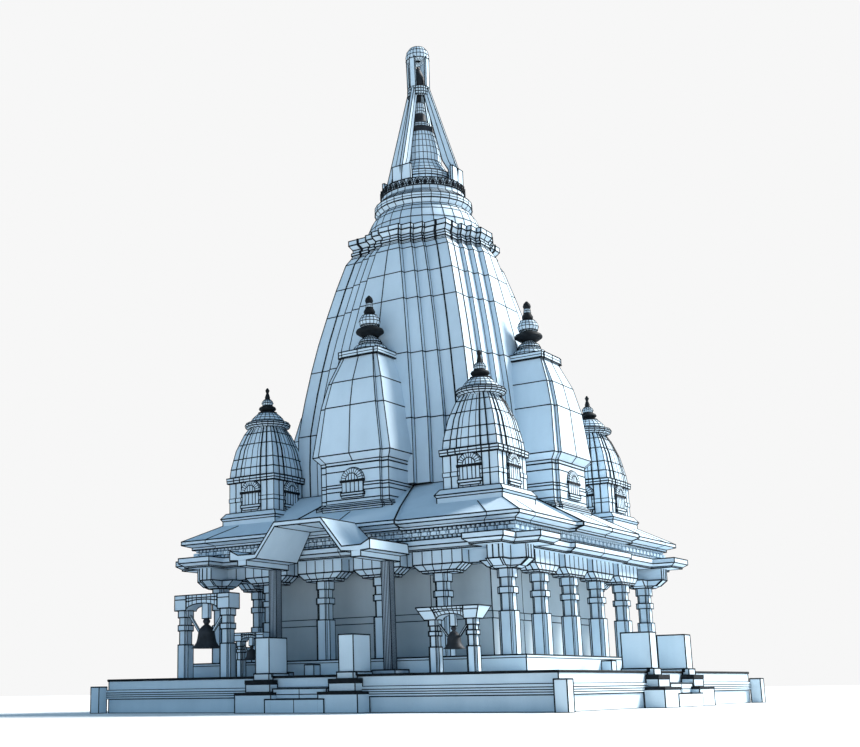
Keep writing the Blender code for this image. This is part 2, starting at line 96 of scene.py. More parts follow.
def mix(nt, a, b, fac, kind="MULTIPLY"):
    x = nt.nodes.new("ShaderNodeMix")
    x.data_type = "RGBA"
    x.blend_type = kind
    if isinstance(fac, float):
        x.inputs["Factor"].default_value = fac
    else:
        nt.links.new(fac, x.inputs["Factor"])
    nt.links.new(a, x.inputs["A"])
    nt.links.new(b, x.inputs["B"])
    return x.outputs["Result"]


def stone(name, base, rough=0.82, bump=0.25, spread=0.05):
    """Fine, lime-washed stone: slow tone change, rain streaks down the faces and a grain of a few millimetres."""
    m, nt, bs = mat_base(name)
    dark = tuple(c * (1.0 - spread) for c in base)
    light = tuple(min(1.0, c * (1.0 + spread * 0.6)) for c in base)
    slow = ramp(nt, noise(nt, 0.9, 5.0), [(0.30, dark), (0.52, base), (0.72, light)])
    streak = ramp(nt, noise(nt, 1.0, 3.0, (2.2, 2.2, 0.18)), [(0.36, (0.955, 0.965, 0.97)), (0.60, (1.0, 1.0, 1.0))])
    grain = ramp(nt, noise(nt, 38.0, 2.0), [(0.35, (0.965, 0.97, 0.975)), (0.60, (1.0, 1.0, 1.0))])
    col = mix(nt, mix(nt, slow, streak, 1.0), grain, 0.8)
    nt.links.new(col, bs.inputs["Base Color"])
    bs.inputs["Roughness"].default_value = rough
    bs.inputs["Specular IOR Level"].default_value = 0.18
    b = nt.nodes.new("ShaderNodeBump")
    b.inputs["Strength"].default_value = bump
    b.inputs["Distance"].default_value = 0.006
    nt.links.new(noise(nt, 24.0, 6.0), b.inputs["Height"])
    nt.links.new(b.outputs["Normal"], bs.inputs["Normal"])
    return m


def dark_paint(name, base, rough=0.7):
    """Dark joint strips, also used for the painted shade behind the dentils: near-black filler with a little dust."""
    m, nt, bs = mat_base(name)
    dust = tuple(min(1.0, c * 1.7 + 0.004) for c in base)
    col = ramp(nt, noise(nt, 6.0, 5.0), [(0.38, base), (0.70, dust)])
    nt.links.new(col, bs.inputs["Base Color"])
    bs.inputs["Roughness"].default_value = rough
    bs.inputs["Specular IOR Level"].default_value = 0.15
    b = nt.nodes.new("ShaderNodeBump")
    b.inputs["Strength"].default_value = 0.3
    b.inputs["Distance"].default_value = 0.004
    nt.links.new(noise(nt, 30.0, 4.0), b.inputs["Height"])
    nt.links.new(b.outputs["Normal"], bs.inputs["Normal"])
    return m


def iron(name, base):
    """Cast metal, dark, with a duller worn film."""
    m, nt, bs = mat_base(name)
    worn = tuple(min(1.0, c * 2.2 + 0.006) for c in base)
    col = ramp(nt, noise(nt, 5.0, 6.0), [(0.40, base), (0.75, worn)])
    nt.links.new(col, bs.inputs["Base Color"])
    bs.inputs["Metallic"].default_value = 0.35
    bs.inputs["Roughness"].default_value = 0.62
    b = nt.nodes.new("ShaderNodeBump")
    b.inputs["Strength"].default_value = 0.25
    b.inputs["Distance"].default_value = 0.003
    nt.links.new(noise(nt, 26.0, 5.0), b.inputs["Height"])
    nt.links.new(b.outputs["Normal"], bs.inputs["Normal"])
    return m


PALE = stone("pale_stone_look", (0.63, 0.76, 0.86))
# Room walls: the pale stone made darker and greyer, as painted shade of the verandah roof over them.
WALL_PAINTED_SHADE = stone("wall_stone_painted_shade", (0.56, 0.63, 0.67), 0.86, 0.35, 0.07)
# Platform, stairs and plinth: stone colour made lighter than the pale stone, as painted light for the stronger bounce
# light near the ground.
BASE_PLATFORM_PAINTED_LIGHT = stone("platform_stone_painted_light", (0.68, 0.80, 0.88), 0.84, 0.30, 0.055)
# Near-black for the joint strips and finial parts, and for a band of painted shade behind the dentils.
JOINT_AND_SHADE_DARK = dark_paint("joint_and_painted_shade_dark", (0.005, 0.007, 0.009))
METAL = iron("dark_metal_look", (0.016, 0.018, 0.022))


# ---------------------------------------------------------------- mesh helper
def quarter(x, y, k):
    for _ in range(k % 4):
        x, y = -y, x
    return x, y


class Skin:
    """Gathers quads and joint strips of one piece."""

    def __init__(self):
        self.v, self.f, self.fm, self.l = [], [], [], []
        self.place()

    def place(self, cx=0.0, cy=0.0, j=0, k=0):
        self.cx, self.cy, self.j, self.k = cx, cy, j, k

    def at(self, p):
        x, y = quarter(p[0], p[1], self.j)
        x, y = quarter(x + self.cx, y + self.cy, self.k)
        return (x, y, p[2])

    def face(self, pts, mat=0):
        n = len(self.v)
        self.v += [self.at(p) for p in pts]
        self.f.append(tuple(range(n, n + len(pts))))
        self.fm.append(mat)

    def line(self, p, q, w=W):
        if w > 0 and sum((a - b) ** 2 for a, b in zip(p, q)) > 1e-12:
            self.l.append((self.at(p), self.at(q), w))

    def path(self, pts, w=W, closed=False):
        for a, b in zip(pts, pts[1:]):
            self.line(a, b, w)
        if closed:
            self.line(pts[-1], pts[0], w)

    def grid(self, rows, wh=0.0, wv=0.0, closed=True, mat=0, low=False, top=False):
        """Skin between outlines of equal length; wh and wv are the strips along each row and up each column."""
        n = len(rows[0])
        start = len(self.v)
        for r in rows:
            self.v += [self.at(p) for p in r]
        wh = [wh] * len(rows) if isinstance(wh, (int, float)) else wh
        wv = [wv] * n if isinstance(wv, (int, float)) else wv
        last = n if closed else n - 1
        for a in range(len(rows) - 1):
            for i in range(last):
                j = (i + 1) % n
                self.f.append((start + a * n + i, start + a * n + j, start + (a + 1) * n + j, start + (a + 1) * n + i))
                self.fm.append(mat if isinstance(mat, int) else mat[a])
            for i in range(n):
                if wv[i]:
                    self.line(rows[a][i], rows[a + 1][i], wv[i])
        for a, r in enumerate(rows):
            if wh[a]:
                for i in range(last):
                    self.line(r[i], r[(i + 1) % n], wh[a])
        if low:
            self.f.append(tuple(range(start + n - 1, start - 1, -1)))
            self.fm.append(mat if isinstance(mat, int) else mat[0])
        if top:
            b = start + (len(rows) - 1) * n
            self.f.append(tuple(range(b, b + n)))
            self.fm.append(mat if isinstance(mat, int) else mat[-1])

    def box(self, x0, x1, y0, y1, z0, z1, w=W, mat=0, skip=""):
        p = [(x0, y0, z0), (x1, y0, z0), (x1, y1, z0), (x0, y1, z0), (x0, y0, z1), (x1, y0, z1), (x1, y1, z1), (x0, y1, z1)]
        for key, q in (("b", (3, 2, 1, 0)), ("t", (4, 5, 6, 7)), ("f", (0, 1, 5, 4)), ("r", (1, 2, 6, 5)), ("k", (2, 3, 7, 6)), ("l", (3, 0, 4, 7))):
            if key not in skip:
                self.face([p[i] for i in q], mat)
        if w:
            for a, b in ((0, 1), (1, 2), (2, 3), (3, 0), (4, 5), (5, 6), (6, 7), (7, 4), (0, 4), (1, 5), (2, 6), (3, 7)):
                self.line(p[a], p[b], w)

    def turned(self, prof, n, wv=0.0, turn=0.5, mats=None, low=True, top=True):
        """prof = (radius, z, strip) upward about the local axis."""
        rows, wh = [], []
        for q in prof:
            rows.append([(q[0] * math.cos(2 * math.pi * (i + turn) / n), q[0] * math.sin(2 * math.pi * (i + turn) / n), q[1]) for i in range(n)])
            wh.append(q[2] if len(q) > 2 else 0.0)
        self.grid(rows, wh, wv, True, mats if mats is not None else 0, low, top)


def build(name, sk, mats, nodes, sharp=30.0):
    v = np.array(sk.v, float).reshape(-1, 3)
    faces = list(sk.f)
    fm = list(sk.fm)
    if sk.l:
        P = np.array([s[0] for s in sk.l], float)
        Q = np.array([s[1] for s in sk.l], float)
        w = np.array([s[2] for s in sk.l], float)[:, None]
        d = Q - P
        d /= np.linalg.norm(d, axis=1)[:, None]
        P, Q = P - d * w * 0.4, Q + d * w * 0.4
        up = np.tile(np.array([0.0, 0.0, 1.0]), (len(P), 1))
        up[np.abs(d[:, 2]) > 0.98] = (1.0, 0.0, 0.0)
        a = np.cross(d, up)
        a /= np.linalg.norm(a, axis=1)[:, None]
        b = np.cross(a, d)
        ring = [P + a * w, P + b * w, P - a * w, P - b * w, Q + a * w, Q + b * w, Q - a * w, Q - b * w]
        base = len(v)
        lv = np.stack(ring, axis=1).reshape(-1, 3)
        v = np.vstack([v, lv]) if len(v) else lv
        for s in range(len(P)):
            o = base + 8 * s
            for i in range(4):
                faces.append((o + i, o + (i + 1) % 4, o + 4 + (i + 1) % 4, o + 4 + i))
            faces.append((o + 3, o + 2, o + 1, o))
            faces.append((o + 4, o + 5, o + 6, o + 7))
        fm += [1] * (6 * len(P))
    w3 = np.column_stack([v[:, 0] * M, v[:, 1] * M, (v[:, 2] + H) * M])
    w3 = np.clip(w3, LOW, TOP)
    me = bpy.data.meshes.new(name)
    me.from_pydata(w3.tolist(), [], faces)
    for m in mats:
        me.materials.append(m)
    me.polygons.foreach_set("material_index", fm)
    me.polygons.foreach_set("use_smooth", [True] * len(faces))
    me.update()
    me.set_sharp_from_angle(angle=math.radians(sharp))
    ob = bpy.data.objects.new(name, me)
    bpy.context.collection.objects.link(ob)
    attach(ob, "root")
    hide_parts(*nodes)
    return ob


def level(pts, z):
    return [(p[0], p[1], z) for p in pts]


def four(half):
    """half: (t, out, strip) from the near diagonal to the middle of the front; gives the outline and its strips."""
    side = [(t, -o, w) for t, o, w in half]
    back = [(-t, -o, w) for t, o, w in reversed(half) if t > 1e-9]
    front = side + back
    pts = []
    for k in range(4):
        for x, y, w in front:
            a, b = quarter(x, y, (4 - k) % 4)
            pts.append((a, b, w))
    out = []
    for p in pts:
        if not out or abs(p[0] - out[-1][0]) > 1e-7 or abs(p[1] - out[-1][1]) > 1e-7:
            out.append(p)
    if abs(out[0][0] - out[-1][0]) < 1e-7 and abs(out[0][1] - out[-1][1]) < 1e-7:
        out.pop()
    out = out[::-1]
    return [(p[0], p[1]) for p in out], [p[2] for p in out]


def inner(outline, half):
    return [(x * half / max(abs(x), abs(y)), y * half / max(abs(x), abs(y))) for x, y in outline]


def drawn_in(outline, half):
    """The outline's points pulled straight in to a square, so arms stay arms."""
    return [(max(-half, min(half, x)), max(-half, min(half, y))) for x, y in outline]


def square(w):
    return [(-w, -w), (w, -w), (w, w), (-w, w)]


def mids(w, mid=0.0):
    """Square with a joint at the middle of each side."""
    return four([(w, w, W), (0.0, w, mid)])


# ---------------------------------------------------------------- platform
sk = Skin()
rows, wh = [], []
for w, z, e in ((0.9985, -H, W), (0.9985, -0.0735, BOLD), (1.0070, -0.0728, 0.0), (1.0070, -0.0665, FINE), (1.0070, -0.0586, FINE), (1.0070, -0.0503, FINE),
                (1.0070, -0.0412, 0.0), (0.9985, -0.0405, W), (0.9985, -0.0045, 0.0), (1.0015, -0.0040, FINE), (1.0015, -0.0002, BOLD)):
    o, ws = mids(w)
    rows.append(level(o, z))
    wh.append(e)
sk.grid(rows, wh, ws)
o, ws = mids(1.0015)
sk.grid([level(o, -0.0002), level(inner(o, 0.79), -0.0002), level(inner(o, 0.70), -0.0002)], 0.0, 0.0, low=False)
sk.grid([level(inner(o, 0.70), -0.0002), level(inner(o, 0.02), -0.0002)], top=True)
for k in range(4):
    sk.place(k=k)
    sk.box(1.0038, 1.0500, -1.0500, -1.0038, -H, -0.0265, W)
    sk.line((0.90, -0.90, 0.0), (1.0, -1.0, 0.0), FINE)
sk.place()
build("look_platform", sk, [BASE_PLATFORM_PAINTED_LIGHT, JOINT_AND_SHADE_DARK], ["platform"])


# ---------------------------------------------------------------- stairs
def stair_look(k):
    sk = Skin()
    sk.place(k=k)
    b = -1.0022
    sk.box(-0.120, 0.120, -1.0480, b, -0.0830, -0.0440, W, skip="k")
    sk.box(-0.132, 0.132, -1.0830, -1.0400, -H, -0.0815, W, skip="k")
    sk.line((0.0, -1.0480, -0.0815), (0.0, -1.0480, -0.0440), FINE)
    sk.line((0.0, -1.0830, -H), (0.0, -1.0830, -0.0815), FINE)
    for z in (-0.0645, -0.0795):
        sk.line((-0.120, -1.0480, z), (0.120, -1.0480, z), FINE)
    for s in (1, -1):
        def bx(i, o, y0, y1, z0, z1, w=W, mat=0, skip="k"):
            a, c = (i, o) if s > 0 else (-o, -i)
            sk.box(a, c, y0, y1, z0, z1, w, mat, skip)
        bx(0.105, 0.2735, -1.0805, b, -H, -0.0645)
        bx(0.1030, 0.2745, -1.0835, b, -0.0645, -0.0561, 0.0, 1)
        bx(0.132, 0.245, -1.0500, b, -0.0561, -0.0262)
        bx(0.131, 0.2475, -1.0536, b, -0.0262, -0.0115, 0.0, 1)
        bx(0.1528, 0.2234, -1.0277, -1.0022, -0.0125, 0.0115, W, 0, "")
        bx(0.1528, 0.2234, -1.0100, -0.9010, 0.0001, 0.0115, W, 0, "")
        bx(0.1571, 0.2210, -1.0195, -0.9065, 0.0115, 0.1441, W, 0, "")
    build("look_stair_" + ("front", "right", "back", "left")[k], sk, [BASE_PLATFORM_PAINTED_LIGHT, JOINT_AND_SHADE_DARK], ["stair_" + ("front", "right", "back", "left")[k]])


for k in range(4):
    stair_look(k)

# ---------------------------------------------------------------- plinth
sk = Skin()
o, ws = mids(0.785, FINE)
sk.grid([level(o, 0.0002), level(o, 0.0520)], [BOLD, W], ws)
o, ws = mids(0.787)
sk.grid([level(o, 0.0520), level(o, 0.0608)], [0.0, W], ws, low=True, top=True)
for k in range(4):
    sk.place(k=k)
    for s in (1, -1):
        a, c = sorted((s * 0.0880, s * 0.1323))
        sk.box(a, c, -0.8270, -0.7850, 0.0002, 0.0448, W, skip="k")
sk.place()
build("look_plinth", sk, [BASE_PLATFORM_PAINTED_LIGHT, JOINT_AND_SHADE_DARK], ["plinth"])

# ---------------------------------------------------------------- room walls
sk = Skin()
J = [(0.533, W), (0.300, 0.0), (0.0, FINE)]


def wall_ring(w):
    return four([(w, w, W), (0.27 * w / 0.533, w, FINE), (0.0, w, 0.0)])


rows = [level(wall_ring(w)[0], z) for w, z in ((0.533, 0.0614), (0.533, 0.2065), (0.5365, 0.2080), (0.5365, 0.2300), (0.533, 0.2315), (0.533, 0.5318))]
sk.grid(rows, [W, W, 0.0, 0.0, W, 0.0], wall_ring(0.533)[1])
rows = [level(wall_ring(0.533)[0], 0.5318), level(inner(wall_ring(0.533)[0], 0.4755), 0.5318), level(inner(wall_ring(0.533)[0], 0.4755), 0.0614),
        level(wall_ring(0.533)[0], 0.0614)]
sk.grid(rows)
build("look_cella_walls", sk, [WALL_PAINTED_SHADE, JOINT_AND_SHADE_DARK], ["cella_walls"])


# ---------------------------------------------------------------- columns
def plus(ex, ey, ax, ay):
    return [(ex, ay), (ax, ay), (ax, ey), (-ax, ey), (-ax, ay), (-ex, ay), (-ex, -ay), (-ax, -ay), (-ax, -ey), (ax, -ey), (ax, -ay), (ex, -ay)]


def shaft(sk, zs, k=0.60):
    """zs = (half, z, strip)."""
    rows = [level(plus(h, h, h * k, h * k), z) for h, z, w in zs]
    v = [FINE, 0.0020, FINE] * 4
    v = []
    for x, y in plus(1.0, 1.0, k, k):
        v.append(0.0013 if abs(abs(x) - abs(y)) < 1e-6 else 0.0021)
    sk.grid(rows, [w for h, z, w in zs], v, low=True, top=True)


LINE_AXIS, SPACE = 0.672, 0.2688


def column_look(side, k, n):
    sk = Skin()
    sk.place(-LINE_AXIS + n * SPACE, -LINE_AXIS, 0, k)
    z0 = 0.0612
    shaft(sk, ((0.0315, z0, W), (0.0315, 0.2190, 0.0022), (0.0245, 0.2192, 0.0), (0.0245, 0.2812, 0.0), (0.0315, 0.2817, 0.0022),
               (0.0315, 0.3045, 0.0022), (0.0245, 0.3047, 0.0), (0.0245, 0.3381, 0.0), (0.0305, 0.3386, 0.0022), (0.0305, 0.3712, W)))
    if n == 0:
        rows, wh = [], []
        for o, i, a, z, w in ((0.046, 0.046, 0.0270, 0.3716, W), (0.064, 0.060, 0.0290, 0.3795, W), (0.070, 0.064, 0.0300, 0.3800, 0.0), (0.100, 0.092, 0.0330, 0.4033, W)):
            pts = []
            for x, y in plus(1.0, 1.0, 0.5, 0.5):
                ux = (o if x < 0 else i) if abs(x) > 0.75 else a
                uy = (o if y < 0 else i) if abs(y) > 0.75 else a
                pts.append((math.copysign(ux, x), math.copysign(uy, y), z))
            rows.append(pts)
            wh.append(w)
        sk.grid(rows, wh, W, low=True, top=True)
        for j in (0, 3):
            sk.place(-LINE_AXIS + n * SPACE, -LINE_AXIS, j, k)
            for f in (-0.36, 0.36):
                sk.line((f * 0.060, -0.070, 0.3800), (f * 0.066, -0.100, 0.4033), 0.0030)
    else:
        def ends(t, o):
            fr = (-1.0, -0.6, -0.2, 0.2, 0.6, 1.0)
            pts = [(t * f, -o) for f in fr] + [(t, -o * 0.34), (t, o * 0.34)] + [(t * f, o) for f in reversed(fr)] + [(-t, o * 0.34), (-t, -o * 0.34)]
            return pts
        v = [W, 0.0020, 0.0020, 0.0020, 0.0020, W, 0.0030, 0.0030, W, 0.0020, 0.0020, 0.0020, 0.0020, W, 0.0030, 0.0030]
        sk.grid([level(ends(0.068, 0.0350), 0.3716), level(ends(0.070, 0.0360), 0.3796)], [W, W], 0.0020, low=True, top=True)
        sk.grid([level(ends(0.078, 0.0370), 0.3800), level(ends(0.1067, 0.0380), 0.4033)], [W, W], v, low=True, top=True)
    build("look_column_%s_%d" % (side, n + 1), sk, [PALE, JOINT_AND_SHADE_DARK], ["column_%s_%d" % (side, n + 1)])


for side, k in (("front", 0), ("right", 1), ("back", 2), ("left", 3)):
    for n in range(5):
        column_look(side, k, n)

# ---------------------------------------------------------------- beam, lower cornice and dentils
sk = Skin()
beam = [(0.708, 0.708, W), (0.708, 0.770, W), (0.692, 0.770, 0.0030), (0.668, 0.770, 0.0030), (0.6455, 0.770, W), (0.6455, 0.658, 0.0), (0.600, 0.658, W)]
for c in (0.4032, 0.1344):
    beam += [(c + 0.1067, 0.658, W), (c + 0.1067, 0.710, W), (c + 0.0640, 0.710, 0.0022), (c + 0.0213, 0.710, 0.0022), (c - 0.0213, 0.710, 0.0022), (c - 0.0640, 0.710, 0.0022),
             (c - 0.1067, 0.710, W), (c - 0.1067, 0.658, W)]
beam += [(0.0, 0.658, 0.0)]
o, ws = four(beam)
sk.grid([level(drawn_in(o, 0.6150), 0.4038), level(o, 0.4038), level(o, 0.4527)], [W, W, 0.0], 0.0)
for i, w in enumerate(ws):
    if w:
        sk.line((o[i][0], o[i][1], 0.4038), (o[i][0], o[i][1], 0.4527), w)
sk.grid([level(o, 0.4527), level(drawn_in(o, 0.60), 0.4527)])
sk.grid([level(square(0.6150), 0.5335), level(square(0.6150), 0.4038)])


def arms(d, main=0.757, mid=0.776, ear=0.853, a=0.083, turnw=W):
    return four([(0.672 + a + d * 0.9, 0.672 + a + d * 0.9, W), (0.672 + a + d * 0.9, ear + d, turnw), (0.672 - a - d * 0.9, ear + d, turnw), (0.672 - a - d * 0.9, main + d, 0.0),
                 (0.285 - d * 0.0, main + d, 0.0), (0.285, mid + d, turnw), (0.0, mid + d, FINE)])


rows, wh = [], []
for d, z, w in ((-0.0200, 0.4529, W), (-0.0200, 0.4591, W), (0.0, 0.4711, W), (0.0, 0.4917, W)):
    o, ws = arms(d)
    rows.append(level(o, z))
    wh.append(w)
sk.grid(rows, wh, ws)
o, ws = arms(0.0)
sk.grid([level(o, 0.4917), level(drawn_in(o, 0.62), 0.4917)])
o, ws = arms(-0.02)
sk.grid([level(drawn_in(o, 0.62), 0.4529), level(o, 0.4529)])
# Near-black band behind the dentils: painted shade of the recess under the eave.
dentil_shade_band, dentil_shade_band_strips = four([(0.738, 0.738, 0.0), (0.0, 0.738, 0.0)])
sk.grid([level(dentil_shade_band, 0.4917), level(dentil_shade_band, 0.5336)], mat=1)
for k in range(4):
    sk.place(k=k)
    for z0, z1, out, period in ((0.4955, 0.5032, 0.7490, 0.0196), (0.5070, 0.5196, 0.7570, 0.0392), (0.5240, 0.5315, 0.7490, 0.0196)):
        count = int(round(2 * (out - 0.004) / period))
        step = 2 * out / count
        for i in range(count):
            t = -out + (i + 0.5) * step
            g = step * (0.28 if period < 0.03 else 0.27)
            sk.box(t - g, t + g, -out, -0.737, z0, z1, 0.0, 0, "k")
            if period > 0.03:
                sk.box(t + g * 1.35, t + g * 1.85, -out + 0.004, -0.737, z0, z1, 0.0, 0, "k")
sk.place()
build("look_entablature", sk, [PALE, JOINT_AND_SHADE_DARK], ["entablature"])

# ---------------------------------------------------------------- roof
sk = Skin()


def eave(d, joint=W):
    return four([(0.792 + d, 0.792 + d, W), (0.661 * (0.792 + d) / 0.792, 0.791 + d, FINE), (0.285, 0.789 + d, 0.0), (0.285, 0.816 + d, BOLD), (0.0, 0.816 + d, joint)])


rows, wh = [], []
for d, z, w in ((-0.033, 0.5338, W), (-0.033, 0.5448, W), (0.0, 0.5546, W), (0.0, 0.5692, W)):
    o, ws = eave(d)
    rows.append(level(o, z))
    wh.append(w)
sk.grid(rows, wh, ws)
slope = []
for t, out, z in ((0.792, 0.792, 0.5692), (0.661, 0.791, 0.5692), (0.285, 0.789, 0.5692), (0.285, 0.816, 0.5692), (0.0, 0.816, 0.5692)):
    slope.append((t, out, z))


def ring_z(half):
    o, ws = four([(t, out, i) for i, (t, out, z, w) in enumerate(half)])
    zz = {i: (z, w) for i, (t, out, z, w) in enumerate(half)}
    return [(p[0], p[1], zz[i][0]) for p, i in zip(o, ws)], [zz[i][1] for i in ws]


r0, w0 = ring_z([(0.792, 0.792, 0.5692, W), (0.661, 0.791, 0.5692, W), (0.2851, 0.789, 0.5692, 0.0), (0.285, 0.816, 0.5692, BOLD), (0.0, 0.816, 0.5692, W)])
r1, w1 = ring_z([(0.682, 0.682, 0.6290, W), (0.570, 0.681, 0.6290, W), (0.2331, 0.672, 0.6320, 0.0), (0.233, 0.682, 0.6385, BOLD), (0.0, 0.684, 0.6385, W)])
r2, w2 = ring_z([(0.455, 0.455, 0.7565, W), (0.380, 0.455, 0.7565, 0.0), (0.1651, 0.455, 0.7565, 0.0), (0.165, 0.457, 0.7568, BOLD), (0.0, 0.459, 0.7568, 0.0)])
sk.grid([r0, r1], [0.0, 0.0], w0)
sk.grid([r1, r2], [0.0, W], [W if i == 0 else w for i, w in enumerate(w2)])
sk.grid([r2, [(x * 0.77, y * 0.77, 0.7566) for x, y, z in r2], [(x * 0.77, y * 0.77, 0.5340) for x, y, z in r2]])
o, ws = eave(-0.033)
sk.grid([level(inner(o, 0.352), 0.5340), level(o, 0.5340)])
build("look_roof", sk, [PALE, JOINT_AND_SHADE_DARK], ["roof"])


# ---------------------------------------------------------------- main tower with its cornice
def tower_ring(c, thick=1.0):
    s, w, b = 0.0205, c - 0.25, 0.0021 * thick
    t0, t1, t2, t3 = c - 0.050 - 0.085 * w, c - 0.1055 - 0.065 * w, c - 0.1520 - 0.150 * w, c - 0.2016 - 0.220 * w
    return four([(c, c, W), (t0, c + 0.0015, BOLD * thick), (t1, c + 0.003, b), (t1, c + s, b), (t2, c + s, b), (t2, c + 2.1 * s, b), (t3, c + 2.1 * s, b), (t3, c + 3.2 * s, b),
                 (0.0, c + 3.2 * s, W)])


sk = Skin()
TOWER = ((0.432, 0.7572, W), (0.433, 0.89, 0.0), (0.429, 1.03, W), (0.419, 1.11, 0.0), (0.406, 1.20, 0.0), (0.386, 1.3219, W), (0.361, 1.453, 0.0),
         (0.332, 1.5817, W), (0.300, 1.714, W), (0.266, 1.8385, W), (0.248, 1.8692, W))
rows, wh = [], []
for c, z, w in TOWER:
    o, ws = tower_ring(c)
    rows.append(level(o, z))
    wh.append(w)
sk.grid(rows, wh, ws)
rows, wh = [], []
for c, z, w in ((0.2460, 1.8692, W), (0.2460, 1.8755, 0.0), (0.2435, 1.8765, W), (0.2435, 1.8835, 0.0), (0.2470, 1.8850, 0.0034), (0.2470, 1.8970, W), (0.2415, 1.8985, 0.0),
                (0.2415, 1.9130, 0.0034), (0.2555, 1.9335, 0.0036), (0.2555, 1.9563, W)):
    o, ws = tower_ring(c, 1.7)
    rows.append(level(o, z))
    wh.append(w)
sk.grid(rows, wh, ws)
o, ws = tower_ring(0.2555)
sk.grid([level(o, 1.9563), level(inner(o, 0.12), 1.9563)], [0.0, 0.0], top=True)
build("look_main_tower", sk, [PALE, JOINT_AND_SHADE_DARK], ["main_tower"])

# ---------------------------------------------------------------- crown
sk = Skin()
sk.turned(((0.2700, 1.9567, W), (0.2600, 2.0070, W), (0.2450, 2.0430, 0.0), (0.2390, 2.0520, W), (0.2250, 2.0730, W), (0.2125, 2.0870, W), (0.2130, 2.0930, 0.0),
           (0.2262, 2.1075, 0.0036), (0.2270, 2.1200, FINE), (0.2262, 2.1340, W), (0.2180, 2.1420, FINE), (0.2110, 2.1480, FINE), (0.2010, 2.1560, FINE),
           (0.1965, 2.1620, FINE), (0.1930, 2.1820, W), (0.1930, 2.2182, W)), 32, 0.0021)
n = 35
for i in range(n):
    a = 2 * math.pi * (i + 0.5) / n
    ca, sa = math.cos(a), math.sin(a)

    def pt(t, r, z):
        return (r * ca - t * sa, r * sa + t * ca, z)
    arch = [(0.0163 * math.cos(q), 2.1830 + 0.0345 * math.sin(q)) for q in [math.pi * s / 8 for s in range(9)]]
    outer = [pt(t, 0.1955 + 0.0025 * (1 - abs(t) / 0.0163), z) for t, z in arch]
    sk.face(outer, 0)
    sk.path(outer, 0.0020, True)
    for t, z in arch[1:-1]:
        sk.line(pt(0.0, 0.1985, 2.1840), pt(t, 0.1962 + 0.0025 * (1 - abs(t) / 0.0163), z), 0.0017)
    sk.path([pt(t * 0.55, 0.1980, 2.1830 + (z - 2.1830) * 0.55) for t, z in arch], 0.0017)
build("look_tower_crown", sk, [PALE, JOINT_AND_SHADE_DARK], ["tower_crown"])

# ---------------------------------------------------------------- spire
sk = Skin()
sk.turned(((0.1310, 2.2188, W), (0.1375, 2.2380, FINE), (0.1420, 2.2550, 0.0034), (0.1430, 2.2670, FINE), (0.1420, 2.2800, 0.0034)), 30, 0.0018)
sk.turned(((0.1420, 2.2800, W), (0.1300, 2.2830, FINE), (0.1180, 2.3045, FINE), (0.1050, 2.3260, FINE), (0.0930, 2.3475, 0.0036), (0.0920, 2.3850, FINE), (0.0870, 2.4190, FINE),
           (0.0800, 2.4520, FINE), (0.0730, 2.4830, FINE), (0.0660, 2.5060, W)), 30, 0.0016)
sk.turned(((0.0660, 2.5060, 0.0), (0.0660, 2.5320, 0.0), (0.0460, 2.5400, 0.0)), 24, mats=1)
sk.turned(((0.0460, 2.5400, W), (0.0460, 2.5500, FINE), (0.0440, 2.5600, W)), 18, 0.0016)
sk.turned(((0.0440, 2.5600, 0.0), (0.0300, 2.5750, 0.0), (0.0300, 2.6050, 0.0), (0.0220, 2.6120, 0.0)), 18, mats=1)
sk.turned(((0.0220, 2.6120, W), (0.0270, 2.6250, FINE), (0.0270, 2.6400, FINE), (0.0240, 2.6680, W)), 16, 0.0014)
sk.turned(((0.0240, 2.6680, 0.0), (0.0110, 2.6800, 0.0), (0.0110, 2.7120, 0.0), (0.0300, 2.7520, 0.0), (0.0300, 2.8000, 0.0), (0.0180, 2.8350, 0.0), (0.0030, 2.8630, 0.0)), 16, mats=1)
build("look_tower_spire", sk, [PALE, METAL], ["tower_spire"])

# ---------------------------------------------------------------- parasol
sk = Skin()
PLATE_TOP, LEAN = 2.292, (0.190 - 0.055) / (2.735 - 2.292)
for k in range(4):
    sk.place(k=k)
    sk.box(-0.048, 0.048, -0.190, -0.178, 2.2188, PLATE_TOP, W)
    sk.line((0.0, -0.190, 2.2188), (0.0, -0.190, PLATE_TOP), W)
    rows = []
    for z, inn in ((2.2188, 0.1465), (2.292, 0.1465), (2.345, 0.118), (2.735, 0.026)):
        out = 0.190 - LEAN * (z - PLATE_TOP) if z >= PLATE_TOP else 0.186
        half = (out + inn) / 2
        rows.append([(-0.007, -out, z), (0.007, -out, z), (0.0085, -half, z), (0.010, -inn, z), (-0.010, -inn, z), (-0.0085, -half, z)])
    sk.grid(rows, [0.0, 0.0, 0.0, 0.0], [W, W, 0.0020, W, W, 0.0020], low=True, top=True)
    lo = [(-0.0145, -0.0520, 2.7400), (0.0145, -0.0520, 2.7400), (0.0145, -0.0425, 2.7400), (-0.0145, -0.0425, 2.7400)]
    hi = [(-0.0135, -0.0545, 2.9000), (0.0135, -0.0545, 2.9000), (0.0135, -0.0455, 2.9000), (-0.0135, -0.0455, 2.9000)]
    sk.grid([lo, hi], 0.0, 0.0024)
sk.place()
n = 26
ring_rows = []
for r, z in ((0.0515, 2.7025), (0.0535, 2.7160), (0.0535, 2.7310), (0.0515, 2.7450), (0.0370, 2.7450), (0.0370, 2.7025), (0.0515, 2.7025)):
    ring_rows.append([(r * math.cos(2 * math.pi * (i + 0.5) / n), r * math.sin(2 * math.pi * (i + 0.5) / n), z) for i in range(n)])
sk.grid(ring_rows, [0.0030, 0.0024, 0.0024, 0.0030, 0.0, 0.0, 0.0], 0.0022)
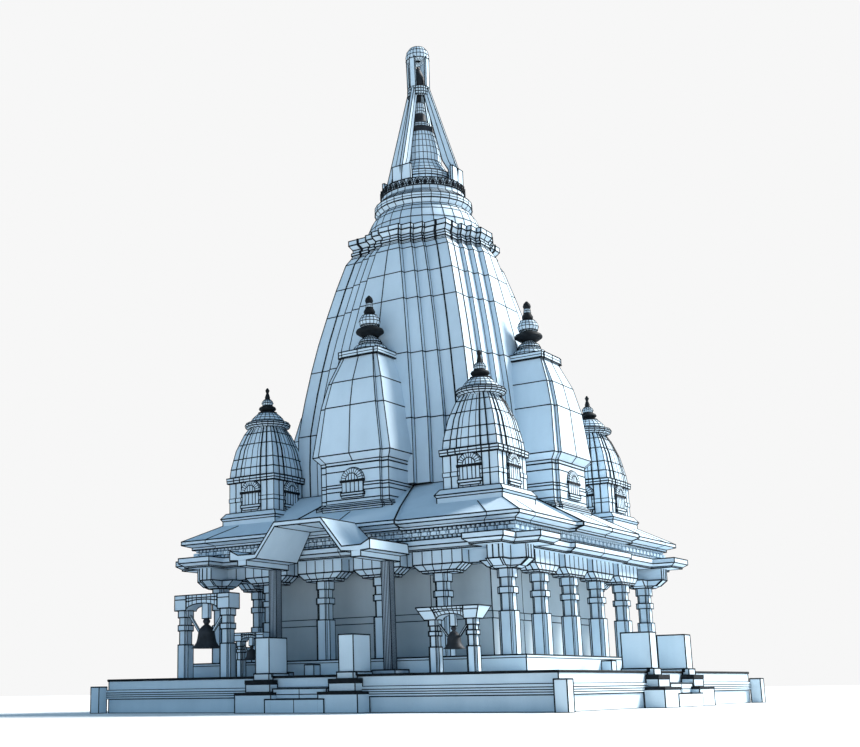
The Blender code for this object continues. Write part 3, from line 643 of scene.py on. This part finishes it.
for i in range(20):
    a = 2 * math.pi * (i + 0.5) / 20
    sk.line((0.0, 0.0, 2.8930), (0.0550 * math.cos(a), 0.0550 * math.sin(a), 2.8930), 0.0012)
sk.turned(((0.0555, 2.8930, 0.0026), (0.0557, 2.9150, 0.0018), (0.0510, 2.9360, 0.0018), (0.0370, 2.9550, 0.0018), (0.0120, 2.9658, 0.0018)), 20, 0.0014)
build("look_parasol", sk, [PALE, JOINT_AND_SHADE_DARK], ["parasol"])


# ---------------------------------------------------------------- arched windows
def window(sk, out, z0, spring, half, r_out, bars, depth=0.006, bold=0.0034):
    """Sill, barred panel, lintel band and a ribbed round hood on the local front face."""
    y = -out
    f = y - depth
    sk.box(-r_out, r_out, f, y, z0 - 0.0100, z0 + 0.0010, bold * 0.7)
    sk.box(-half, half, f + depth * 0.4, y, z0, spring, 0.0018)
    for b in bars:
        sk.line((b, f + depth * 0.4, z0), (b, f + depth * 0.4, spring - 0.004), 0.0022)
    sk.box(-r_out * 1.02, r_out * 1.02, f - 0.001, y, spring - 0.0075, spring + 0.0005, 0.0018, 1)
    n = 12
    outer, mid, small = [], [], []
    for i in range(n + 1):
        a = math.pi * i / n
        c, s = math.cos(a), math.sin(a)
        outer.append((r_out * c, y, spring + r_out * 0.92 * s))
        mid.append((r_out * 0.93 * c, f, spring + r_out * 0.86 * s))
        small.append((r_out * 0.52 * c, f - 0.002, spring + r_out * 0.50 * s))
    sk.grid([outer, mid, small], [W, 0.0016, 0.0022], [0.0017] * (n + 1), closed=False)
    sk.face(small[::-1], 0)
    sk.line((0.0, f - 0.002, spring), (0.0, f - 0.002, spring + r_out * 0.5), 0.0020)
    for t in (-0.26, 0.26):
        sk.line((r_out * t, f - 0.002, spring), (r_out * t, f - 0.002, spring + r_out * 0.42), 0.0020)


# ---------------------------------------------------------------- corner towers
def shikhara_ring(c, e):
    return four([(c, c, 0.0022), (c * 0.70, c + 0.0004, 0.0), (c * 0.70, c + e, BOLD * 0.75), (c * 0.44, c + e, 0.0020), (c * 0.44, c + e * 1.8, BOLD * 0.75), (c * 0.28, c + e * 1.8, 0.0016),
                 (0.0, c + e * 1.8, 0.0020)])


def corner_tower_look(name, k):
    sk = Skin()
    A = 0.5265
    sk.place(A, -A, 0, k)
    slab = ((0.1390, 0.5750, 0.0), (0.1397, 0.6575, W), (0.1464, 0.6670, W), (0.1300, 0.6888, W))
    sk.grid([level(square(c), z) for c, z, w in slab], [w for c, z, w in slab], W, low=True, top=True)
    rows, wh = [], []
    for c, e, z, w in ((0.1185, 0.002, 0.6888, 0.0), (0.1185, 0.002, 0.7380, W), (0.1205, 0.002, 0.7390, 0.0), (0.1205, 0.002, 0.7530, 0.0), (0.1185, 0.002, 0.7540, W), (0.1185, 0.002, 0.8195, W),
                       (0.1267, 0.002, 0.8205, W), (0.1275, 0.002, 0.8310, W), (0.1283, 0.002, 0.8425, W), (0.1178, 0.005, 0.8457, W), (0.1146, 0.005, 0.8815, W), (0.1064, 0.005, 0.9240, W),
                       (0.0986, 0.005, 0.9640, 0.0), (0.0900, 0.004, 0.9889, W), (0.0810, 0.004, 1.0150, 0.0), (0.0726, 0.003, 1.0380, W), (0.0580, 0.003, 1.0650, 0.0)):
        o, ws = shikhara_ring(c, e)
        rows.append(level(o, z))
        wh.append(w)
    sk.grid(rows, wh, ws, low=True, top=True)
    for j in range(4):
        sk.place(A, -A, j, k)
        window(sk, 0.1225, 0.7186, 0.7766, 0.0425, 0.0525, (-0.029, -0.010, 0.010, 0.026))
        sk.box(-0.0430, 0.0430, -0.1275, -0.1225, 0.6985, 0.7070, FINE)
    sk.place(A, -A, 0, k)
    sk.turned(((0.0600, 1.0600, 0.0), (0.0800, 1.0668, W), (0.0967, 1.0726, 0.0028), (0.0990, 1.0812, 0.0028), (0.0945, 1.0887, W), (0.0790, 1.0930, 0.0)), 24, 0.0018)
    sk.turned(((0.0790, 1.0930, W), (0.0735, 1.0985, FINE), (0.0674, 1.1100, FINE), (0.0548, 1.1233, FINE), (0.0420, 1.1335, W)), 20, 0.0015)
    sk.turned(((0.0420, 1.1335, 0.0), (0.0425, 1.1370, 0.0), (0.0420, 1.1400, 0.0), (0.0211, 1.1406, 0.0)), 20, mats=1)
    sk.turned(((0.0211, 1.1406, 0.0), (0.0267, 1.1447, 0.0), (0.0375, 1.1530, 0.0), (0.0385, 1.1574, 0.0), (0.0350, 1.1640, 0.0), (0.0253, 1.1690, 0.0), (0.0208, 1.1720, 0.0)), 18, mats=1)
    sk.turned(((0.0208, 1.1720, W), (0.0253, 1.1823, FINE), (0.0225, 1.1900, FINE), (0.0155, 1.1970, W)), 14, 0.0013)
    sk.turned(((0.0140, 1.1970, 0.0), (0.0113, 1.2035, 0.0), (0.0113, 1.2110, 0.0), (0.0056, 1.2290, 0.0), (0.0096, 1.2405, 0.0), (0.0030, 1.2520, 0.0)), 14, mats=1)
    build("look_corner_tower_" + name, sk, [PALE, JOINT_AND_SHADE_DARK], ["corner_tower_" + name])


for k, name in enumerate(("front_right", "back_right", "back_left", "front_left")):
    corner_tower_look(name, k)


# ---------------------------------------------------------------- middle turrets
def turret_ring(c, d, e, mid):
    """Plan of a turret: plain sides, a raised middle panel on the outward face only."""
    a, b = 0.0022, -d - e
    return ([(-c, d), (-c, -d), (-0.80 * c, -d), (-0.80 * c, b), (0.0, b), (0.80 * c, b), (0.80 * c, -d), (c, -d), (c, d)], [0.0, 0.0024, a, a, mid, a, a, 0.0024, 0.0])


def turret_look(name, k):
    sk = Skin()
    T = 0.498
    sk.place(0.0, -T, 0, k)
    wall = ((0.178, 0.158, 0.5700, 0.0), (0.178, 0.158, 0.6470, W), (0.181, 0.160, 0.6560, W), (0.181, 0.160, 0.6640, W), (0.172, 0.154, 0.6710, W), (0.162, 0.147, 0.6790, W), (0.162, 0.147, 0.6940, W),
            (0.162, 0.147, 0.7270, W), (0.162, 0.147, 0.7447, W), (0.162, 0.147, 0.7560, W), (0.162, 0.147, 0.8095, W), (0.162, 0.147, 0.8365, 0.0034), (0.164, 0.147, 0.8500, 0.0030))
    upper = ((0.164, 0.147, 0.8500, 0.0), (0.187, 0.172, 0.8775, W), (0.1535, 0.155, 1.0790, W), (0.1285, 0.131, 1.1890, W), (0.089, 0.092, 1.3000, W), (0.097, 0.100, 1.3020, 0.0040),
             (0.097, 0.100, 1.3150, FINE), (0.097, 0.100, 1.3280, W))
    for part, mid in ((wall, 0.0), (upper, W)):
        rows = [level(turret_ring(c, d, 0.013 if c > 0.1 else 0.004, mid)[0], z) for c, d, z, w in part]
        sk.grid(rows, [w for c, d, z, w in part], turret_ring(1, 1, 1, mid)[1], low=True, top=True)
    window(sk, 0.160, 0.7190, 0.7700, 0.0500, 0.0555, (-0.030, -0.010, 0.010, 0.030), 0.008, 0.0042)
    sk.box(-0.0520, 0.0520, -0.1680, -0.1600, 0.7000, 0.7090, FINE)
    sk.turned(((0.0700, 1.3240, 0.0), (0.0746, 1.3428, FINE), (0.0660, 1.3564, FINE), (0.0530, 1.3640, FINE), (0.0396, 1.3701, W)), 22, 0.0015)
    sk.turned(((0.0396, 1.3701, 0.0), (0.0483, 1.3755, W), (0.0423, 1.3865, W), (0.0330, 1.3950, FINE), (0.0238, 1.4029, 0.0)), 22, 0.0015)
    sk.turned(((0.0238, 1.4029, 0.0), (0.0397, 1.4056, 0.0), (0.0590, 1.4190, 0.0), (0.0603, 1.4248, 0.0), (0.0560, 1.4340, 0.0), (0.0291, 1.4479, 0.0)), 22, mats=1)
    sk.turned(((0.0291, 1.4479, 0.0), (0.0397, 1.4523, W), (0.0451, 1.4688, FINE), (0.0410, 1.4820, FINE), (0.0318, 1.4952, W)), 16, 0.0014)
    sk.turned(((0.0300, 1.4952, 0.0), (0.0199, 1.5018, 0.0), (0.0240, 1.5080, 0.0), (0.0244, 1.5156, 0.0), (0.0159, 1.5322, 0.0)), 18, mats=1)
    sk.turned(((0.0159, 1.5322, FINE), (0.0145, 1.5420, FINE), (0.0133, 1.5516, FINE)), 14, 0.0012)
    sk.turned(((0.0133, 1.5516, 0.0), (0.0168, 1.5590, 0.0), (0.0173, 1.5654, 0.0), (0.0140, 1.5750, 0.0), (0.0040, 1.5862, 0.0)), 14, mats=1)
    build("look_turret_" + name, sk, [PALE, JOINT_AND_SHADE_DARK], ["turret_" + name])


for k, name in enumerate(("front", "right", "back", "left")):
    turret_look(name, k)

# ---------------------------------------------------------------- porch canopy and posts
sk = Skin()
half = [(0.0, 0.5715, W), (0.108, 0.5715, W), (0.200, 0.4575, W), (0.282, 0.4585, W), (0.3215, 0.4775, W), (0.3215, 0.4400, W), (0.2825, 0.4375, W), (0.2820, 0.4160, W), (0.2400, 0.4160, W),
        (0.2395, 0.4375, W), (0.196, 0.4410, W), (0.1045, 0.5550, W), (0.0, 0.5550, 0.0)]
loop = [(-x, z, w) for x, z, w in reversed(half) if x > 0] + []
sec = half[:-1] + [(0.0, 0.5550, W)] + [(-x, z, w) for x, z, w in reversed(half[1:-1])]


def back_at(z):
    return -0.7775 - 0.040 * min(max((z - 0.4575) / (0.5715 - 0.4575), 0.0), 1.0)


front = [(x, -1.0495, z) for x, z, w in sec]
rear = [(x, back_at(z), z) for x, z, w in sec]
sk.grid([rear, front], [W, W], [w for x, z, w in sec])
pairs = [((0.0, 0.5715), (0.108, 0.5715), (0.1045, 0.5550), (0.0, 0.5550)), ((0.108, 0.5715), (0.200, 0.4575), (0.196, 0.4410), (0.1045, 0.5550)),
         ((0.200, 0.4575), (0.282, 0.4585), (0.2825, 0.4375), (0.196, 0.4410)), ((0.282, 0.4585), (0.3215, 0.4775), (0.3215, 0.4400), (0.2825, 0.4375)),
         ((0.2395, 0.4375), (0.2825, 0.4375), (0.2820, 0.4160), (0.2400, 0.4160))]
for s in (1, -1):
    for q in pairs:
        for y in (-1.0495, None):
            pts = [(s * x, y if y else back_at(z), z) for x, z in q]
            sk.face(pts, 0)
build("look_porch_canopy", sk, [PALE, JOINT_AND_SHADE_DARK], ["porch_canopy"])

# Porch posts: the pale stone made darker and greyer, as painted shade of the porch canopy above them.
POST_PAINTED_SHADE = stone("post_stone_painted_shade", (0.40, 0.48, 0.56), 0.8, 0.3, 0.08)
for hand, s in (("right", 1), ("left", -1)):
    sk = Skin()
    sk.place(s * 0.262, -0.8365)
    sk.box(-0.0490, 0.0490, -0.0490, 0.0490, 0.0002, 0.0175, W)
    h = 0.0170
    pts, v = [], []
    for j in range(4):
        for t in (-1.0, -0.6, -0.2, 0.2, 0.6):
            r = h if t in (-1.0, -0.2, 0.6) or abs(t) == 0.2 else h
            x, y = quarter(t * h, -h, j)
            pts.append((x, y))
            v.append(W if t == -1.0 else 0.0016)
    sk.grid([level(pts, 0.0178), level(pts, 0.4150)], [W, W], v, low=True, top=True)
    build("look_porch_post_" + hand, sk, [POST_PAINTED_SHADE, JOINT_AND_SHADE_DARK], ["porch_post_" + hand])

# ---------------------------------------------------------------- bell frames and bells
FRAMES = (("large", -0.566, -0.8935, 0.142, 0.110, 0.0270, 0.1347, (0.1907, 0.2123), 0.2438, (0.2710, 0.3308), 0.2960, 0.0, 0.236, 0.1187, 0.0620),
          ("medium", 0.5595, -0.8865, 0.104, 0.0758, 0.0202, 0.0918, (0.1306, 0.1461), 0.1651, (0.1866, 0.2295), 0.2060, 0.022, 0.162, 0.0837, 0.0410),
          ("small", -0.3270, -0.9060, 0.0715, 0.0525, 0.0158, 0.0685, (0.0970, 0.1080), 0.1200, (0.1395, 0.1706), 0.1540, 0.0, 0.1211, 0.0666, 0.0350))
for name, cx, cy, hw, post_at, ph, zb, ring, cap, beam_z, arch, flare, tip, rim, r in FRAMES:
    sk = Skin()
    e = 0.0024 if name != "small" else 0.0020
    for s in (-1, 1):
        sk.place(cx + s * post_at, cy)
        q = ph * 0.80
        shaft(sk, ((ph, 0.0002, e), (ph, zb, e), (q, zb + 0.0005, 0.0), (q, ring[0] - 0.0005, 0.0), (ph, ring[0], e), (ph, ring[1], e), (q, ring[1] + 0.0005, 0.0), (q, cap - 0.0005, 0.0),
                   (ph, cap, e), (ph, beam_z[0], e)), 0.62)
    sk.place(cx, cy)
    z0, z1 = beam_z
    lo = post_at - ph
    d0, d1 = ph * 1.24, ph * 1.24 + flare
    n = 10
    soffit = [(lo * math.cos(math.pi * i / n), z0 + (arch - z0) * math.sin(math.pi * i / n)) for i in range(n + 1)]
    crown = [(lo * math.cos(math.pi * i / n) * (1 + 0.0), z1) for i in range(n + 1)]
    for y, flip in ((-1, 0), (1, 1)):
        low = [(x, y * d0, z) for x, z in soffit]
        high = [(x * (hw + flare) / hw, y * d1, z) for x, z in crown]
        m1 = [(a[0] + (b[0] - a[0]) * 0.45, a[1] + (b[1] - a[1]) * 0.45, max(a[2] + (b[2] - a[2]) * 0.45, z0 + (z1 - z0) * 0.58)) for a, b in zip(low, high)]
        m2 = [(a[0] + (b[0] - a[0]) * 0.75, a[1] + (b[1] - a[1]) * 0.75, z0 + (z1 - z0) * 0.80) for a, b in zip(low, high)]
        sk.grid([low, m1, m2, high] if y < 0 else [high, m2, m1, low], [e, e, e, e], e * 0.8, closed=False)
        for s in (1, -1):
            a, b = (s * lo, y * d0, z0), (s * hw, y * d0, z0)
            c, d = (s * (hw + flare), y * d1, z1), (s * lo * (hw + flare) / hw, y * d1, z1)
            sk.face([a, b, c, d], 0)
            sk.path([a, b, c, d], e)
            p, q2 = (s * (hw + flare * 0.72), y * (d0 + flare * 0.72), z0 + (z1 - z0) * 0.72), (s * lo, y * (d0 + flare * 0.72), z0 + (z1 - z0) * 0.72)
            sk.line(p, q2, e * 0.9)
    for i in range(n):
        a, b = soffit[i], soffit[i + 1]
        sk.face([(a[0], -d0, a[1]), (b[0], -d0, b[1]), (b[0], d0, b[1]), (a[0], d0, a[1])], 0)
    for s in (1, -1):
        sk.face([(s * hw, -d0, z0), (s * hw, d0, z0), (s * (hw + flare), d1, z1), (s * (hw + flare), -d1, z1)], 0)
        sk.path([(s * hw, -d0, z0), (s * hw, d0, z0), (s * (hw + flare), d1, z1), (s * (hw + flare), -d1, z1)], e, True)
        sk.face([(s * lo, -d0, z0), (s * hw, -d0, z0), (s * hw, d0, z0), (s * lo, d0, z0)], 0)
    sk.face([(-hw - flare, -d1, z1), (hw + flare, -d1, z1), (hw + flare, d1, z1), (-hw - flare, d1, z1)], 0)
    w = r * 0.26
    sk.box(-w, w, -w * 0.6, w * 0.6, tip + 0.0001, z1 - 0.01, e * 0.8)
    g = 0.0645 * r
    for s in (-1, 1):
        x0, zz0 = lo + ph * 0.10, cap + 0.25 * (z0 - cap)
        x1, zz1 = 0.584 * r, rim + 0.5695 * (tip - rim)
        ln = math.hypot(x1 - x0, zz1 - zz0)
        u, v = (x1 - x0) / ln, (zz1 - zz0) / ln
        ends = []
        for x, z in ((x0, zz0), (x1, zz1)):
            ends.append([(s * (x - v * g * a), g * b, z + u * g * a) for a, b in ((1, 1), (1, -1), (-1, -1), (-1, 1))])
        sk.grid(ends, [0.0, e * 0.7], e * 0.7, low=True, top=True)
    build("look_bell_frame_" + name, sk, [PALE, JOINT_AND_SHADE_DARK], ["bell_frame_" + name])

    sk = Skin()
    sk.place(cx, cy)
    hgt = tip - rim
    prof = [(0.08, 1.00), (0.18, 0.975), (0.24, 0.93), (0.24, 0.88), (0.17, 0.83), (0.15, 0.80), (0.30, 0.74), (0.42, 0.67), (0.50, 0.60), (0.56, 0.48), (0.60, 0.32), (0.66, 0.20), (0.80, 0.09), (0.96, 0.02),
            (1.0, 0.0), (0.92, 0.0), (0.60, 0.14), (0.50, 0.50), (0.06, 0.57)]
    sk.turned([(a * r, rim + t * hgt, 0.0) for a, t in reversed(prof)][::-1], 28, 0.0)
    build("look_bell_" + name, sk, [METAL, METAL], ["bell_" + name], 40.0)

# ---------------------------------------------------------------- stage, light and camera
fm, nt, bs = mat_base("floor_pale")
nt.links.new(ramp(nt, noise(nt, 0.5, 3.0), [(0.3, (0.78, 0.79, 0.79)), (0.7, (0.82, 0.83, 0.83))]), bs.inputs["Base Color"])
bs.inputs["Roughness"].default_value = 0.9
me = bpy.data.meshes.new("floor")
me.from_pydata([(-300, -300, 0), (300, -300, 0), (300, 300, 0), (-300, 300, 0)], [], [(0, 1, 2, 3)])
me.materials.append(fm)
floor = bpy.data.objects.new("floor", me)
bpy.context.collection.objects.link(floor)

scene = bpy.context.scene
scene.view_settings.view_transform = "Standard"
world = bpy.data.worlds.new("studio")
world.use_nodes = True
scene.world = world
nt = world.node_tree
for nd in list(nt.nodes):
    nt.nodes.remove(nd)
out = nt.nodes.new("ShaderNodeOutputWorld")
fill = nt.nodes.new("ShaderNodeBackground")
fill.inputs["Color"].default_value = (0.44, 0.68, 0.92, 1.0)
fill.inputs["Strength"].default_value = 0.58
back = nt.nodes.new("ShaderNodeBackground")
back.inputs["Color"].default_value = (0.93, 0.93, 0.93, 1.0)
back.inputs["Strength"].default_value = 1.0
lp = nt.nodes.new("ShaderNodeLightPath")
mx = nt.nodes.new("ShaderNodeMixShader")
nt.links.new(lp.outputs["Is Camera Ray"], mx.inputs["Fac"])
nt.links.new(fill.outputs["Background"], mx.inputs[1])
nt.links.new(back.outputs["Background"], mx.inputs[2])
nt.links.new(mx.outputs["Shader"], out.inputs["Surface"])


def sun(name, azimuth, elevation, energy, angle, colour):
    """azimuth in degrees from +X towards +Y: where the light comes from."""
    data = bpy.data.lights.new(name, "SUN")
    data.energy = energy
    data.angle = math.radians(angle)
    data.color = colour
    ob = bpy.data.objects.new(name, data)
    a, e = math.radians(azimuth), math.radians(elevation)
    d = Vector((math.cos(a) * math.cos(e), math.sin(a) * math.cos(e), math.sin(e)))
    ob.rotation_euler = d.to_track_quat("Z", "Y").to_euler()
    ob.location = d * 60.0
    bpy.context.collection.objects.link(ob)


sun("key", 49.0, 40.0, 7.6, 20.0, (1.0, 0.985, 0.95))

# camera: solved from the straight edges of the picture
CX, CY, CZ = 2.80402, -4.94831, -0.05121
AZ, PITCH, ROLL, FOC = 0.619274, 0.242479, -0.013872, math.exp(7.156005)
f = Vector((-math.sin(AZ) * math.cos(PITCH), math.cos(AZ) * math.cos(PITCH), math.sin(PITCH)))
rt = Vector((math.cos(AZ), math.sin(AZ), 0.0))
up = rt.cross(f)
r2 = rt * math.cos(ROLL) + up * math.sin(ROLL)
u2 = up * math.cos(ROLL) - rt * math.sin(ROLL)
cam_data = bpy.data.cameras.new("camera")
cam_data.sensor_width = 36.0
cam_data.lens = 36.0 * FOC / 860.0
cam_data.shift_x = (430.0 - 300.0) / 860.0
cam_data.clip_end = 2000.0
cam = bpy.data.objects.new("camera", cam_data)
cam.matrix_world = Matrix(((r2.x, u2.x, -f.x, CX * M), (r2.y, u2.y, -f.y, CY * M), (r2.z, u2.z, -f.z, (CZ + H) * M), (0, 0, 0, 1)))
bpy.context.collection.objects.link(cam)
scene.camera = cam
